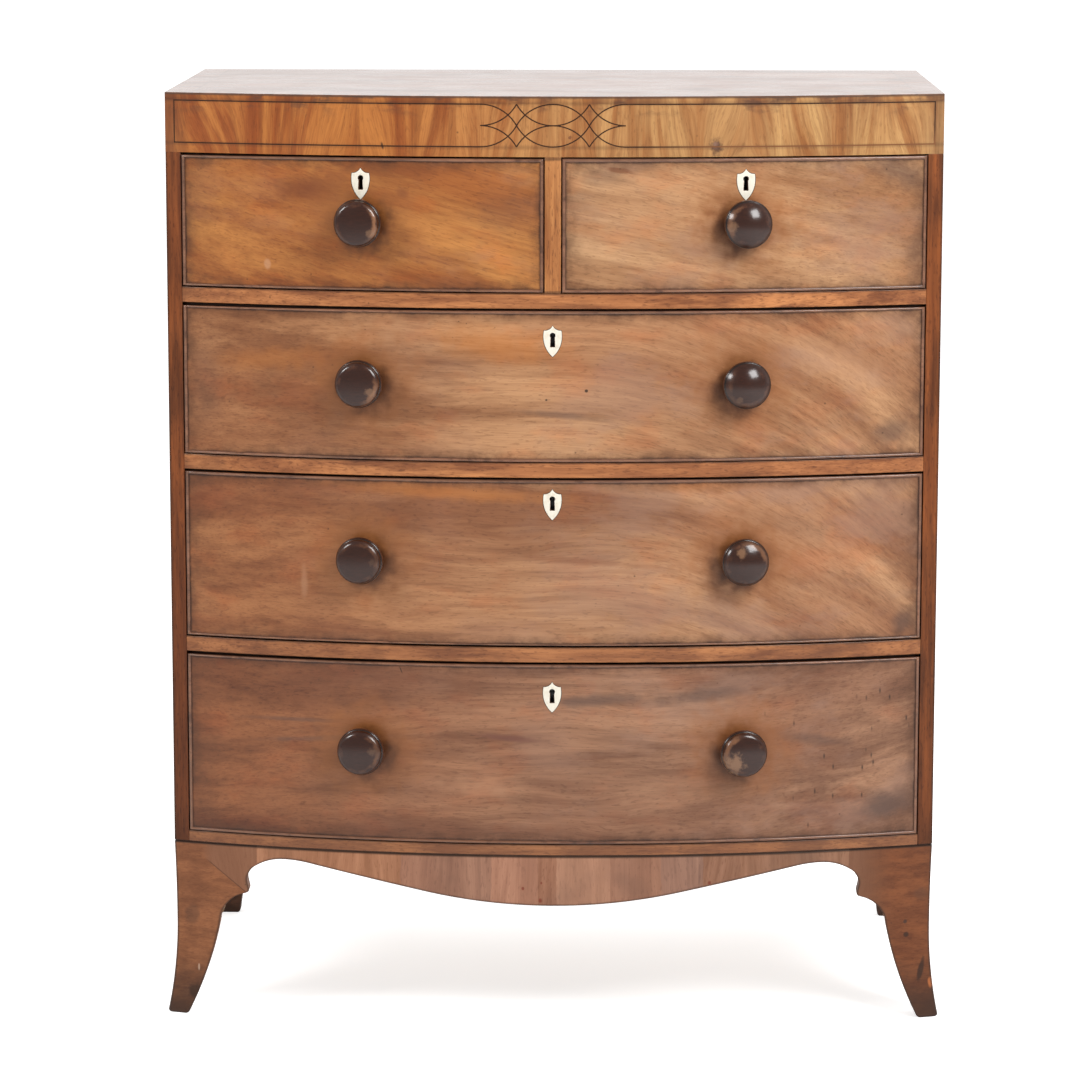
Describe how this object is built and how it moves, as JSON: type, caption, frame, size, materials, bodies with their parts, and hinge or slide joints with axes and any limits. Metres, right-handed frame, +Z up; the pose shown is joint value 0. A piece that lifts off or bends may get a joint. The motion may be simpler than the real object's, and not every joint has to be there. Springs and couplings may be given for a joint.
{
  "type": "bow front chest of drawers",
  "caption": "Bow-fronted wooden chest on splayed bracket feet: short drawers over long ones slide out on runners, with turned knobs, shield keyhole plates and an inlaid frieze.",
  "frame": {"origin": "on the floor, in the middle of the whole chest, knobs included", "axes": "+X to the right of someone who faces the chest, +Y from the front to the back, +Z up; drawers open towards -Y"},
  "size_m": [0.92, 0.5704, 1.096],
  "materials": {
    "drawer_mahogany": "satin polish",
    "frieze_mahogany": "satin polish",
    "rail_mahogany": "satin polish",
    "bead_mahogany": "satin polish",
    "base_mahogany": "satin polish, worn",
    "side_mahogany": "satin polish",
    "top_mahogany": "satin polish",
    "case_wood": "bare, aged",
    "deal": "bare, aged pine",
    "oak": "bare, planed oak",
    "stringing": "dark inlaid line",
    "knob_wood": "dark, glossy polish",
    "bone": "polished bone",
    "brass": "dull, aged",
    "iron": "dark, forged"
  },
  "bodies": {
    "carcass": {"top_board": "case_wood", "top_veneers": "top_mahogany", "side_left": "side_mahogany", "side_right": "side_mahogany", "bottom_board": "deal", "back_boards": "deal", "back_nails": "iron", "frieze_rail": "deal", "frieze_facing": "frieze_mahogany", "frieze_stringing": "stringing", "front_rails": "rail_mahogany", "muntin": "rail_mahogany", "drawer_runners": "deal", "dustboards": "deal", "drawer_stops": "oak", "front_apron": "base_mahogany", "side_aprons": "side_mahogany", "front_feet": "base_mahogany", "rear_feet": "side_mahogany", "glue_blocks": "deal"},
    "short_left_drawer": {"short_left_front": "drawer_mahogany", "short_left_cock_beads": "bead_mahogany", "short_left_box": "oak", "short_left_bottom": "oak", "short_left_knobs": "knob_wood", "short_left_escutcheon": "bone", "short_left_lock": "brass"},
    "short_left_bolt": {"short_left_bolt": "brass"},
    "short_right_drawer": {"short_right_front": "drawer_mahogany", "short_right_cock_beads": "bead_mahogany", "short_right_box": "oak", "short_right_bottom": "oak", "short_right_knobs": "knob_wood", "short_right_escutcheon": "bone", "short_right_lock": "brass"},
    "short_right_bolt": {"short_right_bolt": "brass"},
    "long_upper_drawer": {"long_upper_front": "drawer_mahogany", "long_upper_cock_beads": "bead_mahogany", "long_upper_box": "oak", "long_upper_bottom": "oak", "long_upper_knobs": "knob_wood", "long_upper_escutcheon": "bone", "long_upper_lock": "brass"},
    "long_upper_bolt": {"long_upper_bolt": "brass"},
    "long_middle_drawer": {"long_middle_front": "drawer_mahogany", "long_middle_cock_beads": "bead_mahogany", "long_middle_box": "oak", "long_middle_bottom": "oak", "long_middle_knobs": "knob_wood", "long_middle_escutcheon": "bone", "long_middle_lock": "brass"},
    "long_middle_bolt": {"long_middle_bolt": "brass"},
    "long_lower_drawer": {"long_lower_front": "drawer_mahogany", "long_lower_cock_beads": "bead_mahogany", "long_lower_box": "oak", "long_lower_bottom": "oak", "long_lower_knobs": "knob_wood", "long_lower_escutcheon": "bone", "long_lower_lock": "brass"},
    "long_lower_bolt": {"long_lower_bolt": "brass"}
  },
  "joints": [
    {"name": "short_left_slide", "type": "slide", "parent": "carcass", "child": "short_left_drawer", "axis": [0, -1, 0], "range_m": [0, 0.34]},
    {"name": "short_left_bolt_slide", "type": "slide", "parent": "short_left_drawer", "child": "short_left_bolt", "axis": [0, 0, 1], "range_m": [0, 0.009]},
    {"name": "short_right_slide", "type": "slide", "parent": "carcass", "child": "short_right_drawer", "axis": [0, -1, 0], "range_m": [0, 0.34]},
    {"name": "short_right_bolt_slide", "type": "slide", "parent": "short_right_drawer", "child": "short_right_bolt", "axis": [0, 0, 1], "range_m": [0, 0.009]},
    {"name": "long_upper_slide", "type": "slide", "parent": "carcass", "child": "long_upper_drawer", "axis": [0, -1, 0], "range_m": [0, 0.34]},
    {"name": "long_upper_bolt_slide", "type": "slide", "parent": "long_upper_drawer", "child": "long_upper_bolt", "axis": [0, 0, 1], "range_m": [0, 0.009]},
    {"name": "long_middle_slide", "type": "slide", "parent": "carcass", "child": "long_middle_drawer", "axis": [0, -1, 0], "range_m": [0, 0.34]},
    {"name": "long_middle_bolt_slide", "type": "slide", "parent": "long_middle_drawer", "child": "long_middle_bolt", "axis": [0, 0, 1], "range_m": [0, 0.009]},
    {"name": "long_lower_slide", "type": "slide", "parent": "carcass", "child": "long_lower_drawer", "axis": [0, -1, 0], "range_m": [0, 0.34]},
    {"name": "long_lower_bolt_slide", "type": "slide", "parent": "long_lower_drawer", "child": "long_lower_bolt", "axis": [0, 0, 1], "range_m": [0, 0.009]}
  ]
}
